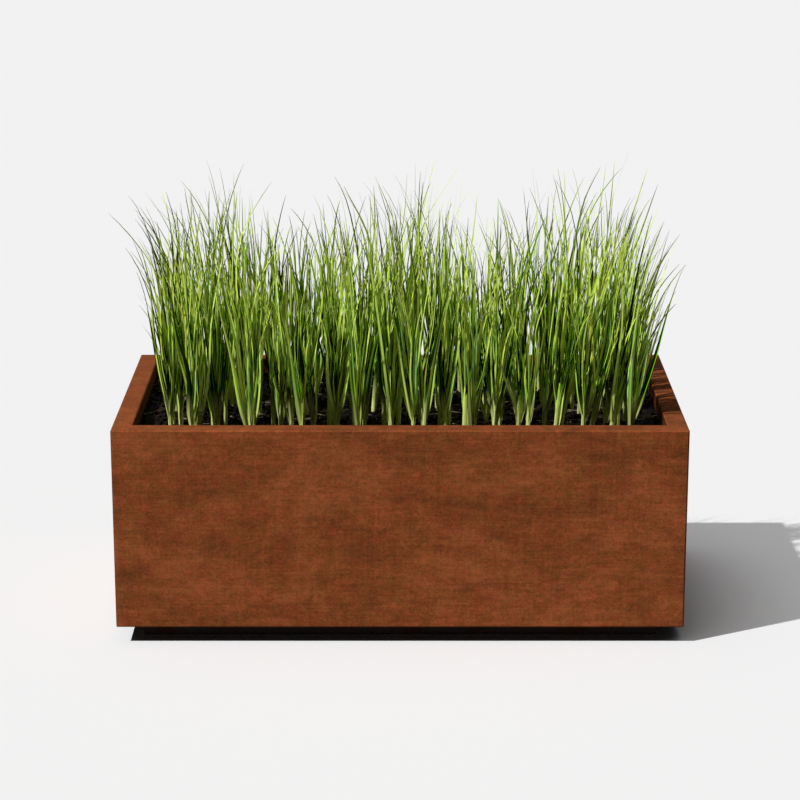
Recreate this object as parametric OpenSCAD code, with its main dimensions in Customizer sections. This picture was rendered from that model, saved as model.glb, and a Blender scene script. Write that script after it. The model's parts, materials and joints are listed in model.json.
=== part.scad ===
// Rectangular weathering steel planter box on a recessed plinth, filled and planted with upright grass.
// Millimetres. The origin is on the ground under the middle of the box, +X runs along the box,
// the front faces -Y and +Z is up.

/* [Box] */
// Length of the box
box_w = 900; // [700:10:1400]
// Depth of the box, front to back
box_d = 480; // [400:10:700]
// Height of the steel box above its plinth
box_h = 325; // [260:1:450]
// Thickness of the steel sheet
sheet_t = 2; // [1.5:0.1:3]
// Inside radius of every fold
fold_inner_r = 1; // [0.6:0.1:2]

/* [Rim] */
// Width of the rim seen from above
rim_w = 32; // [24:1:50]
// Depth of the lip that is turned down inside the rim
lip_h = 25; // [12:1:45]
// Thickness of the plates behind the rim's mitred corners
gusset_t = 3; // [2:0.5:5]

/* [Welds] */
// Leg of the fillet welds inside the upright corners
weld_leg = 5; // [3:0.5:8]

/* [Plinth] */
// Height of the plinth
plinth_h = 27; // [24:1:60]
// Distance from the box face in to the plinth face
plinth_recess = 40; // [20:1:60]
// Width of the plinth rails' flanges
rail_w = 25; // [22:1:35]
// How far the box's bottom flanges reach past the rails
flange_over = 5; // [3:1:15]
// Distance of the two cross rails from the middle of the box
cross_rail_x = 130; // [60:5:160]

/* [Drainage] */
// Diameter of the drain holes
drain_d = 25; // [16:1:32]
// Distance from the end of the box to the drain holes
drain_inset_x = 190; // [120:5:200]
// Distance from the front and back of the box to the drain holes
drain_inset_y = 150; // [110:5:170]
// How far a plug's flange laps over the base around its hole
plug_lap = 5.5; // [3:0.5:8]
// Thickness of a plug's flange
plug_flange_t = 4; // [3:0.5:6]
// Height that a plug's stem stands above the base
plug_rise = 3; // [1:0.5:5]
// Length of a plug's pull tab
plug_tab_h = 8; // [6:0.5:8]

/* [Braces] */
// Distance of the two tie bars from the middle of the box
brace_x = 150; // [80:5:250]
// Distance from the rim down to the middle of the tie bars
brace_drop = 150; // [90:5:170]
// Height of a tie bar
bar_h = 30; // [24:1:45]
// Thickness of a tie bar
bar_t = 4; // [3:0.5:6]
// Length of a bracket's legs
bracket_leg = 36; // [30:1:50]
// Thickness of a bracket
bracket_t = 3; // [2:0.5:5]

/* [Fasteners] */
// Diameter of the plinth bolts
plinth_bolt_d = 6; // [5:1:8]
// Diameter of the tie bar bolts
brace_bolt_d = 8; // [6:1:10]
// Distance from the corner of the box to the nearest plinth bolts
bolt_inset = 140; // [120:5:200]

/* [Filling] */
// Depth of the drainage gravel
gravel_h = 40; // [20:1:80]
// Thickness of the filter fleece
fleece_t = 2; // [1:0.5:4]
// Distance from the bottom of the lip down to the soil
soil_below_lip = 5; // [2:1:20]

/* [Grass] */
// Plants along the box
plant_cols = 6; // [4:1:6]
// Distance from the ends of the box to the planted bed
bed_inset_x = 55; // [50:1:90]
// Distance from the front and back of the box to the planted bed
bed_inset_y = 30; // [26:1:90]
// Height of the tallest blades above the soil
grass_h = 430; // [250:5:600]
// Height that the valleys between the mounds lie below their tops
mound_depth = 90; // [0:5:150]
// Height of the closed sheaths at the foot of the blades
sheath_h = 30; // [15:1:60]
// Radius of a sheath
sheath_r = 4.5; // [3:0.5:6]
// Outward lean at the tips of the outermost blades
tip_lean = 45; // [0:1:60]

/* [Hidden] */
$fn = 48;

// Clearances
fit_gap = 0.2;
fill_gap = 0.3;
bolt_gap = 0.2;
thread_gap = 0.05;
plug_gap = 0.05;
bar_end_gap = 5;
over = 1;

// Folded sheet
fold_r = sheet_t + fold_inner_r;
fold_seat = fold_r + fit_gap;
bottom_flange_w = plinth_recess + rail_w + flange_over;

// Levels
floor_z = plinth_h + sheet_t;
pan_top_z = floor_z + sheet_t;
rim_z = plinth_h + box_h;
rim_under_z = rim_z - sheet_t;
soil_z = rim_z - lip_h - soil_below_lip;
gravel_z = pan_top_z + fill_gap;
fleece_z = gravel_z + gravel_h + fill_gap;
soil_base_z = fleece_z + fleece_t + fill_gap;
brace_z = rim_z - brace_drop;

// Standard fastener proportions
head_w_per_d = 1.65;
head_h_per_d = 0.66;
nut_h_per_d = 0.83;
washer_d_per_d = 2;
washer_t = 1.6;
bolt_end = 1.5;

// Plinth bolts, on the middle line of the rails
rail_line = plinth_recess + rail_w / 2;
bolt_x = box_w / 2 - bolt_inset;
bolt_y = box_d / 2 - bolt_inset;
plinth_bolt_points = concat(
    [for (x = [-bolt_x, 0, bolt_x], s = [-1, 1]) [x, s * (box_d / 2 - rail_line)]],
    [for (s = [-1, 1], y = [-bolt_y, bolt_y]) [s * (box_w / 2 - rail_line), y]]
);

// Drain plugs
drain_x = box_w / 2 - drain_inset_x;
drain_y = box_d / 2 - drain_inset_y;
plug_tab_w = 12;
plug_tab_t = 4;
plug_eye_d = 4;

// Grass bed: rows of plants, each of three tillers, each tiller a sheath that opens into blades
row_names = ["front", "middle", "back"];
tillers = 3;
blades = 6;
rings = 4;
plant_pitch_x = (box_w - 2 * bed_inset_x) / plant_cols;
plant_pitch_y = (box_d - 2 * bed_inset_y) / len(row_names);
tiller_pitch = plant_pitch_x / tillers;
tiller_wander = 9;
tiller_zigzag = 10;
mounds = 3;
blade_w = 4.2;
blade_fold = 0.5;
blade_root = 0.6 * sheath_r;
shortest_blade = 0.7;
spread_x = tiller_pitch / 2 - tiller_wander - blade_w;
spread_y = plant_pitch_y / 2 - tiller_zigzag - tiller_wander - 2 * blade_w;

// Weights of the repeatable scatter, and which choice each draw settles
scatter_weights = [127.1, 311.7, 74.7];
scatter_gain = 4375.85;
choice_x = 1;
choice_y = 2;
choice_turn = 3;
choice_length = 10;

function plant_name(row, col) = str("grass_", row_names[row], "_", col + 1);
plant_names = [for (row = [0 : len(row_names) - 1], col = [0 : plant_cols - 1]) plant_name(row, col)];

rust = "#753E21";
dark_rust = "#2A160C";
bare_steel = "#8E8F8C";
black_rubber = "#1B1B1C";
gravel_grey = "#7C736A";
fleece_white = "#C9C8C2";
soil_black = "#1C1611";
leaf_green = "#6F9A33";

// A quarter of a folded sheet's bend, in the quadrant that the signs name, centred on the origin
module bend(sx, sy) {
    intersection() {
        difference() {
            circle(r = fold_r);
            circle(r = fold_inner_r);
        }
        translate([sx > 0 ? 0 : -fold_r - over, sy > 0 ? 0 : -fold_r - over])
            square(fold_r + over);
    }
}

// Section of a box wall: X runs in from the outer face, Y up from the bottom edge
module wall_section() {
    translate([fold_r, 0])
        square([bottom_flange_w - fold_r, sheet_t]);
    translate([fold_r, fold_r])
        bend(-1, -1);
    translate([0, fold_r])
        square([sheet_t, box_h - 2 * fold_r]);
    translate([fold_r, box_h - fold_r])
        bend(-1, 1);
    translate([fold_r, box_h - sheet_t])
        square([rim_w - 2 * fold_r, sheet_t]);
    translate([rim_w - fold_r, box_h - fold_r])
        bend(1, 1);
    translate([rim_w - sheet_t, box_h - lip_h])
        square([sheet_t, lip_h - fold_r]);
}

// Section of a plinth rail: a channel whose web stands on the outside
module channel_section(height) {
    translate([fold_r, 0])
        square([rail_w - fold_r, sheet_t]);
    translate([fold_r, fold_r])
        bend(-1, -1);
    translate([0, fold_r])
        square([sheet_t, height - 2 * fold_r]);
    translate([fold_r, height - fold_r])
        bend(-1, 1);
    translate([fold_r, height - sheet_t])
        square([rail_w - fold_r, sheet_t]);
}

// Runs a section along X, with its outer face on Y = 0 and its inside towards +Y
module run_section(span) {
    translate([-span / 2, 0, 0])
        rotate([90, 0, 90])
            linear_extrude(span)
                children();
}

// Keeps what lies between two 45 degree mitres that start at the ends of a span
module mitred(span, reach, height) {
    intersection() {
        children();
        translate([0, 0, -over])
            linear_extrude(height + 2 * over)
                polygon([
                    [-span / 2 - over, -over],
                    [span / 2 + over, -over],
                    [span / 2 - reach - over, reach + over],
                    [-span / 2 + reach + over, reach + over]
                ]);
    }
}

// Copies its child to the four upright corners of a rectangle, turned by mirroring
module at_corners(x, y) {
    for (sx = [0, 1], sy = [0, 1])
        mirror([sx, 0, 0])
            mirror([0, sy, 0])
                translate([x, y, 0])
                    children();
}

// Rounds off the upright corners of the box
module corner_round_cut() {
    at_corners(box_w / 2 - fold_r, box_d / 2 - fold_r)
        translate([0, 0, plinth_h - over])
            linear_extrude(box_h + 2 * over)
                difference() {
                    square(fold_r + over);
                    circle(r = fold_r);
                }
}

module plinth_bolt_holes(top, bottom) {
    for (p = plinth_bolt_points)
        translate([p[0], p[1], bottom])
            cylinder(h = top - bottom, d = plinth_bolt_d + 2 * bolt_gap);
}

// One wall of the box with its rim, lip and bottom flange, facing -Y before it is turned
module box_wall(span, depth, turn) {
    color(rust)
        difference() {
            rotate([0, 0, turn])
                translate([0, -depth / 2, plinth_h])
                    mitred(span, bottom_flange_w, box_h)
                        run_section(span + 4 * over)
                            wall_section();
            corner_round_cut();
            plinth_bolt_holes(floor_z + over, plinth_h - over);
        }
}

module front_panel() {
    box_wall(box_w, box_d, 0);
}

module back_panel() {
    box_wall(box_w, box_d, 180);
}

module left_panel() {
    box_wall(box_d, box_w, -90);
}

module right_panel() {
    box_wall(box_d, box_w, 90);
}

// Fillet welds up the inside of the box's corners
module corner_welds() {
    bead_z = pan_top_z + fill_gap;
    bead_h = rim_under_z - gusset_t - fill_gap - bead_z;
    color(dark_rust)
        at_corners(box_w / 2 - sheet_t, box_d / 2 - sheet_t)
            translate([0, 0, bead_z])
                linear_extrude(bead_h)
                    polygon([[0, 0], [-weld_leg, 0], [0, -weld_leg]]);
}

// Plates under the rim that back its mitred corners
module rim_gussets() {
    leg = rim_w - 2 * fold_seat;
    color(dark_rust)
        at_corners(box_w / 2 - fold_seat, box_d / 2 - fold_seat)
            translate([0, 0, rim_under_z - gusset_t])
                linear_extrude(gusset_t)
                    polygon([[0, 0], [-leg, 0], [0, -leg]]);
}

// Base plate lying on the walls' bottom flanges
module base_pan() {
    pan_w = box_w - 2 * fold_seat;
    pan_d = box_d - 2 * fold_seat;
    color(dark_rust)
        difference() {
            translate([-pan_w / 2, -pan_d / 2, floor_z])
                cube([pan_w, pan_d, sheet_t]);
            plinth_bolt_holes(pan_top_z + over, floor_z - over);
            at_corners(drain_x, drain_y)
                translate([0, 0, floor_z - over])
                    cylinder(h = sheet_t + 2 * over, d = drain_d);
        }
}

// One rail of the plinth, facing -Y before it is turned
module plinth_rail(box_span, box_depth, turn) {
    span = box_span - 2 * plinth_recess;
    color(dark_rust)
        difference() {
            rotate([0, 0, turn])
                translate([0, plinth_recess - box_depth / 2, 0])
                    mitred(span, rail_w, plinth_h)
                        run_section(span + 4 * over)
                            channel_section(plinth_h);
            plinth_bolt_holes(plinth_h + over, plinth_h - sheet_t - over);
        }
}

module plinth_front_rail() {
    plinth_rail(box_w, box_d, 0);
}

module plinth_back_rail() {
    plinth_rail(box_w, box_d, 180);
}

module plinth_left_rail() {
    plinth_rail(box_d, box_w, -90);
}

module plinth_right_rail() {
    plinth_rail(box_d, box_w, 90);
}

// Channel under the middle of the base, between the bottom flanges
module plinth_cross_rail(side) {
    color(dark_rust)
        translate([side * (cross_rail_x + rail_w / 2), 0, 0])
            rotate([0, 0, side * 90])
                run_section(box_d - 2 * (bottom_flange_w + fit_gap))
                    channel_section(floor_z);
}

module plinth_cross_rail_left() {
    plinth_cross_rail(-1);
}

module plinth_cross_rail_right() {
    plinth_cross_rail(1);
}

// Hexagon of a nut or bolt head, by the size of its thread
module hexagon(d) {
    circle(d = d * head_w_per_d / cos(30), $fn = 6);
}

// Bolt with its head's seat on Z = 0 and its shank hanging down
module hex_bolt(d, length) {
    linear_extrude(d * head_h_per_d)
        hexagon(d);
    translate([0, 0, -length])
        cylinder(h = length + d * head_h_per_d / 2, d = d);
}

// Nut with its seat on Z = 0 and its body hanging down
module hex_nut(d) {
    translate([0, 0, -d * nut_h_per_d])
        linear_extrude(d * nut_h_per_d)
            difference() {
                hexagon(d);
                circle(d = d + 2 * thread_gap);
            }
}

module plinth_bolts() {
    grip = washer_t + 3 * sheet_t;
    color(bare_steel)
        for (p = plinth_bolt_points)
            translate([p[0], p[1], pan_top_z + washer_t])
                hex_bolt(plinth_bolt_d, grip + plinth_bolt_d * nut_h_per_d + bolt_end);
}

module plinth_washers() {
    color(bare_steel)
        for (p = plinth_bolt_points)
            translate([p[0], p[1], pan_top_z])
                linear_extrude(washer_t)
                    difference() {
                        circle(d = plinth_bolt_d * washer_d_per_d);
                        circle(d = plinth_bolt_d + 2 * bolt_gap);
                    }
}

module plinth_nuts() {
    color(bare_steel)
        for (p = plinth_bolt_points)
            translate([p[0], p[1], plinth_h - sheet_t])
                hex_nut(plinth_bolt_d);
}

// Rubber plug pushed up into a drain hole, with a pull tab under its flange
module drain_plug(sx, sy) {
    color(black_rubber)
        translate([sx * drain_x, sy * drain_y, floor_z])
            difference() {
                union() {
                    cylinder(h = sheet_t + plug_rise, r = drain_d / 2 - plug_gap);
                    translate([0, 0, -plug_flange_t])
                        cylinder(h = plug_flange_t, r = drain_d / 2 + plug_lap);
                    translate([-plug_tab_w / 2, -plug_tab_t / 2, -plug_flange_t - plug_tab_h])
                        cube([plug_tab_w, plug_tab_t, plug_tab_h + over]);
                }
                translate([0, 0, -plug_flange_t - plug_tab_h / 2])
                    rotate([90, 0, 0])
                        cylinder(h = plug_tab_t + 2 * over, d = plug_eye_d, center = true);
            }
}

module drain_plug_front_left() {
    drain_plug(-1, -1);
}

module drain_plug_front_right() {
    drain_plug(1, -1);
}

module drain_plug_back_left() {
    drain_plug(-1, 1);
}

module drain_plug_back_right() {
    drain_plug(1, 1);
}

// Places its child at both ends of a tie bar, with Y = 0 on the wall's inside and +Y inwards
module at_bar_ends(x) {
    for (turn = [0, 1])
        mirror([0, turn, 0])
            translate([x, sheet_t - box_d / 2, brace_z])
                children();
}

module at_both_bars() {
    for (x = [-brace_x, brace_x])
        at_bar_ends(x)
            children();
}

// Lays its child's axis along X through the bolt hole of a bracket, pointing to -X
module along_bar_bolt() {
    translate([0, bracket_leg - bar_h / 2, 0])
        rotate([0, -90, 0])
            children();
}

// Flat bar across the box that stops the long walls from bowing
module tie_bar(x) {
    bar_l = box_d - 2 * (sheet_t + bar_end_gap);
    color(dark_rust)
        difference() {
            translate([x, -bar_l / 2, brace_z - bar_h / 2])
                cube([bar_t, bar_l, bar_h]);
            at_bar_ends(x)
                along_bar_bolt()
                    cylinder(h = 4 * bar_t, d = brace_bolt_d + 2 * bolt_gap, center = true);
        }
}

module tie_bar_left() {
    tie_bar(-brace_x);
}

module tie_bar_right() {
    tie_bar(brace_x);
}

// Outline of an angle bracket, grown by a margin for the soil's pocket
module bracket_outline(margin) {
    translate([-bracket_leg - margin, -margin])
        square([bracket_leg + 2 * margin, bracket_t + 2 * margin]);
    translate([-bracket_t - margin, -margin])
        square([bracket_t + 2 * margin, bracket_leg + 2 * margin]);
}

module bar_brackets() {
    color(dark_rust)
        at_both_bars()
            difference() {
                translate([0, 0, -bar_h / 2])
                    linear_extrude(bar_h)
                        bracket_outline(0);
                along_bar_bolt()
                    cylinder(h = 4 * bracket_t, d = brace_bolt_d + 2 * bolt_gap, center = true);
            }
}

module bar_bolts() {
    color(bare_steel)
        at_both_bars()
            along_bar_bolt()
                translate([0, 0, bracket_t])
                    hex_bolt(brace_bolt_d, bracket_t + bar_t + brace_bolt_d * nut_h_per_d + bolt_end);
}

module bar_nuts() {
    color(bare_steel)
        at_both_bars()
            along_bar_bolt()
                translate([0, 0, -bar_t])
                    hex_nut(brace_bolt_d);
}

// Level layer of filling with its corners cut to clear the corner welds
module fill_layer(bottom, top) {
    half_w = box_w / 2 - sheet_t - fill_gap;
    half_d = box_d / 2 - sheet_t - fill_gap;
    cut = weld_leg + fill_gap;
    translate([0, 0, bottom])
        linear_extrude(top - bottom)
            polygon([
                [-half_w + cut, -half_d], [half_w - cut, -half_d],
                [half_w, -half_d + cut], [half_w, half_d - cut],
                [half_w - cut, half_d], [-half_w + cut, half_d],
                [-half_w, half_d - cut], [-half_w, -half_d + cut]
            ]);
}

// Gravel over the base, lying round the bolt heads and the plugs' stems
module drainage_gravel() {
    head_top = pan_top_z + washer_t + plinth_bolt_d * head_h_per_d + fill_gap;
    head_room = plinth_bolt_d * washer_d_per_d + 2 * fill_gap;
    stem_top = pan_top_z + plug_rise + fill_gap;
    color(gravel_grey)
        difference() {
            fill_layer(gravel_z, gravel_z + gravel_h);
            for (p = plinth_bolt_points)
                translate([p[0], p[1], gravel_z - over])
                    cylinder(h = head_top - gravel_z + over, d = head_room);
            at_corners(drain_x, drain_y)
                translate([0, 0, gravel_z - over])
                    cylinder(h = stem_top - gravel_z + over, d = drain_d + 2 * fill_gap);
        }
}

module filter_fleece() {
    color(fleece_white)
        fill_layer(fleece_z, fleece_z + fleece_t);
}

// Room in the soil for a tie bar with its brackets, bolts and nuts
module tie_bar_pocket(x) {
    pocket_h = bar_h + 2 * fill_gap;
    bolt_room = brace_bolt_d * head_w_per_d / cos(30) + 2 * fill_gap;
    head_side = bracket_t + brace_bolt_d * head_h_per_d + fill_gap;
    nut_side = bar_t + brace_bolt_d * nut_h_per_d + bolt_end + fill_gap;
    translate([x - fill_gap, -box_d / 2, brace_z - pocket_h / 2])
        cube([bar_t + 2 * fill_gap, box_d, pocket_h]);
    at_bar_ends(x) {
        translate([0, 0, -pocket_h / 2])
            linear_extrude(pocket_h)
                bracket_outline(fill_gap);
        along_bar_bolt()
            translate([0, 0, -nut_side])
                cylinder(h = head_side + nut_side, d = bolt_room);
    }
}

module soil_fill() {
    color(soil_black)
        difference() {
            fill_layer(soil_base_z, soil_z);
            tie_bar_pocket(-brace_x);
            tie_bar_pocket(brace_x);
        }
}

// Repeatable scatter between 0 and 1 for a row, a tiller's place in it and a choice
function scatter(row, place, choice) =
    let (v = sin([row + 1, place + 1, choice + 1] * scatter_weights) * scatter_gain)
    v - floor(v);

function either_way(v) = 2 * v - 1;

// Foot of a tiller; place counts tillers along a row
function tiller_foot(row, place) = [
    (place - (plant_cols * tillers - 1) / 2) * tiller_pitch
        + tiller_wander * either_way(scatter(row, place, choice_x)),
    (row - (len(row_names) - 1) / 2) * plant_pitch_y
        + tiller_zigzag * (place % 2 == 0 ? 1 : -1)
        + tiller_wander * either_way(scatter(row, place, choice_y))
];

// Height that the grass reaches above the soil at a place along the box: a row of soft mounds
function mound_h(x) = grass_h - mound_depth * (1 - cos(360 * mounds * x / box_w)) / 2;

// Where a tiller's middle line stands at a height: the bed fans out as it rises, so no two lines meet
function tiller_line(foot, h) =
    let (fan = tip_lean * pow(h / grass_h, 2))
    [foot[0] * (1 + fan / (box_w / 2 - bed_inset_x)), foot[1] * (1 + fan / (box_d / 2 - bed_inset_y))];

// Three corners of a blade's section: the fold towards the tiller's line, then the two edges
function blade_ring(foot, angle, h, width) =
    let (
        rise = h / grass_h,
        line = tiller_line(foot, h),
        reach_x = blade_root + (spread_x - blade_root) * rise,
        reach_y = blade_root + (spread_y - blade_root) * rise,
        out = [cos(angle), sin(angle)],
        across = [-sin(angle), cos(angle)],
        mid = [line[0] + reach_x * out[0], line[1] + reach_y * out[1]],
        back = mid - out * width * blade_fold / 2,
        face = mid + out * width * blade_fold / 2,
        z = soil_z + h
    )
    [
        [back[0], back[1], z],
        [face[0] - across[0] * width / 2, face[1] - across[1] * width / 2, z],
        [face[0] + across[0] * width / 2, face[1] + across[1] * width / 2, z]
    ];

// Corners of one blade above its sheath, ring by ring, ending in its tip
function blade_points(foot, angle, length) = concat(
    [for (k = [1 : rings - 1], p = blade_ring(foot, angle, sheath_h + (length - sheath_h) * k / rings,
        blade_w * (1 - pow(k / rings, 2)))) p],
    [blade_ring(foot, angle, length, 0)[0]]
);

// Length of one of a tiller's blades, from the soil to its tip
function blade_length(row, place, i) =
    mound_h(tiller_foot(row, place)[0])
        * (shortest_blade + (1 - shortest_blade) * scatter(row, place, choice_length + i));

// Points of a tiller: sheath foot, sheath top, the middle of the sheath top, then each blade in turn
function tiller_points(row, place) =
    let (
        foot = tiller_foot(row, place),
        start = 360 * scatter(row, place, choice_turn),
        step = 360 / blades
    )
    concat(
        [for (i = [0 : blades - 1])
            [foot[0] + sheath_r * cos(start + step * i), foot[1] + sheath_r * sin(start + step * i), soil_z]],
        [for (i = [0 : blades - 1])
            [foot[0] + sheath_r * cos(start + step * i), foot[1] + sheath_r * sin(start + step * i),
                soil_z + sheath_h]],
        [[foot[0], foot[1], soil_z + sheath_h]],
        [for (i = [0 : blades - 1],
            p = blade_points(foot, start + step * (i + 0.5), blade_length(row, place, i))) p]
    );

// Two triangles of a wall from edge a-b up to edge c-d
function wall(a, b, c, d) = [[a, d, b], [a, c, d]];

// Faces of a tiller, whose points start at a given index
ring_points = 3 * (rings - 1) + 1;
tiller_size = 2 * blades + 1 + blades * ring_points;

function blade_faces(start, i) =
    let (
        next = (i + 1) % blades,
        first = start + 2 * blades + 1 + i * ring_points,
        foot = [start + 2 * blades, start + blades + i, start + blades + next],
        tip = first + ring_points - 1,
        last = [tip - 3, tip - 2, tip - 1]
    )
    concat(
        [for (e = [0 : 2], f = wall(foot[e], foot[(e + 1) % 3], first + e, first + (e + 1) % 3)) f],
        [for (k = [0 : rings - 3], e = [0 : 2],
            f = wall(first + 3 * k + e, first + 3 * k + (e + 1) % 3,
                first + 3 * (k + 1) + e, first + 3 * (k + 1) + (e + 1) % 3)) f],
        [for (e = [0 : 2]) [last[e], tip, last[(e + 1) % 3]]]
    );

function tiller_faces(start) = concat(
    [for (i = [1 : blades - 2]) [start, start + i, start + i + 1]],
    [for (i = [0 : blades - 1], next = [(i + 1) % blades],
        f = wall(start + i, start + next, start + blades + i, start + blades + next)) f],
    [for (i = [0 : blades - 1], f = blade_faces(start, i)) f]
);

// One grass plant: tillers side by side, each a closed form standing on the soil
module grass_plant(row, col) {
    color(leaf_green)
        polyhedron(
            points = [for (t = [0 : tillers - 1], p = tiller_points(row, col * tillers + t)) p],
            faces = [for (t = [0 : tillers - 1], f = tiller_faces(t * tiller_size)) f]
        );
}

front_panel();
back_panel();
left_panel();
right_panel();
corner_welds();
rim_gussets();
base_pan();
plinth_front_rail();
plinth_back_rail();
plinth_left_rail();
plinth_right_rail();
plinth_cross_rail_left();
plinth_cross_rail_right();
plinth_bolts();
plinth_washers();
plinth_nuts();
drain_plug_front_left();
drain_plug_front_right();
drain_plug_back_left();
drain_plug_back_right();
tie_bar_left();
tie_bar_right();
bar_brackets();
bar_bolts();
bar_nuts();
drainage_gravel();
filter_fleece();
soil_fill();
for (row = [0 : len(row_names) - 1], col = [0 : plant_cols - 1])
    grass_plant(row, col);
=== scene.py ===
"""Looks of a weathering steel planter box: settled rust, a dark plinth, loose soil and upright grass.

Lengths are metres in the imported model's frame: +X runs along the box, the front faces -Y and +Z is up.
"""
from __future__ import annotations

import json
import logging
import math
from dataclasses import dataclass, field
from enum import Enum
from typing import Any, Callable, Sequence, Union

import bmesh
import bpy
import numpy as np
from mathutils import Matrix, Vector

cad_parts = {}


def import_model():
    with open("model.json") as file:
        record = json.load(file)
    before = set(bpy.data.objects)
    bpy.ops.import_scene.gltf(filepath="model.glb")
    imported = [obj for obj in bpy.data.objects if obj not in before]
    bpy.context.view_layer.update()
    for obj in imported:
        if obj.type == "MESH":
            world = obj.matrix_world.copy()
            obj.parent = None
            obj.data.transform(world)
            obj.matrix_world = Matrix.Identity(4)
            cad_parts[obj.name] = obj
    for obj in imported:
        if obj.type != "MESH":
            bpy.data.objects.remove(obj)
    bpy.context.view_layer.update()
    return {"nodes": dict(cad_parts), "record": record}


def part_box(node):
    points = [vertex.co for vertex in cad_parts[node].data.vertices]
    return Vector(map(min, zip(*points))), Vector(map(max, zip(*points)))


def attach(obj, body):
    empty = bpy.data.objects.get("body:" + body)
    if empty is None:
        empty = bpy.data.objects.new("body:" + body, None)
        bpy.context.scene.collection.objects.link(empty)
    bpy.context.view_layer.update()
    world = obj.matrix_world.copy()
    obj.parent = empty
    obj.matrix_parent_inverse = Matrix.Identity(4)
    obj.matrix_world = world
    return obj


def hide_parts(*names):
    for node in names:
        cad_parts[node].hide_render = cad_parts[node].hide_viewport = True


LOG = logging.getLogger("planter")
BODY = "planter"
NEAR = 1e-4

Colour = tuple[float, float, float, float]
Triple = tuple[float, float, float]
Span = tuple[float, float]
Value = Union["Wire", float, Sequence[float]]


def paint(red: int, green: int, blue: int) -> Colour:
    """Turn a colour as it is seen on a screen into the linear colour that shaders take.

    Args:
        red: Red from 0 to 255.
        green: Green from 0 to 255.
        blue: Blue from 0 to 255.

    Returns:
        The linear colour, opaque.
    """
    seen = [part / 255 for part in (red, green, blue)]
    linear = [s / 12.92 if s <= 0.04045 else ((s + 0.055) / 1.055) ** 2.4 for s in seen]
    return (linear[0], linear[1], linear[2], 1.0)


def even(size: float) -> Triple:
    """Length that is the same along every axis."""
    return (size, size, size)


class Wire:
    """One shader socket that can be used in sums and products."""

    def __init__(self, tree: ShaderTree, socket: bpy.types.NodeSocket) -> None:
        """Hold a socket of a tree."""
        self.tree = tree
        self.socket = socket

    def work(self, operation: str, left: Value, right: Value = 0.0) -> Wire:
        """Add one Math node and return its result."""
        return self.tree.add("ShaderNodeMath", {"operation": operation}, {0: left, 1: right})

    def __add__(self, other: Value) -> Wire:
        """Sum of two values."""
        return self.work("ADD", self, other)

    def __radd__(self, other: Value) -> Wire:
        """Sum with a plain number on the left."""
        return self.work("ADD", other, self)

    def __sub__(self, other: Value) -> Wire:
        """Difference of two values."""
        return self.work("SUBTRACT", self, other)

    def __rsub__(self, other: Value) -> Wire:
        """Difference with a plain number on the left."""
        return self.work("SUBTRACT", other, self)

    def __mul__(self, other: Value) -> Wire:
        """Product of two values."""
        return self.work("MULTIPLY", self, other)

    def __rmul__(self, other: Value) -> Wire:
        """Product with a plain number on the left."""
        return self.work("MULTIPLY", other, self)

    def __abs__(self) -> Wire:
        """Size of a value without its sign."""
        return self.work("ABSOLUTE", self)

    def least(self, other: Value) -> Wire:
        """Smaller of two values."""
        return self.work("MINIMUM", self, other)

    def most(self, other: Value) -> Wire:
        """Larger of two values."""
        return self.work("MAXIMUM", self, other)

    def ease(self, low: float, high: float) -> Wire:
        """Smooth step from 0 at low to 1 at high."""
        settings = {"interpolation_type": "SMOOTHSTEP"}
        return self.tree.add("ShaderNodeMapRange", settings, {0: self, 1: low, 2: high, 3: 0.0, 4: 1.0})

    def wave(self) -> Wire:
        """Sine that goes round once for each whole step of the value."""
        return self.work("SINE", self * math.tau)

    def swing(self, gain: float) -> Wire:
        """Value about its middle of one half, stretched by a gain."""
        return (self - 0.5) * gain


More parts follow.
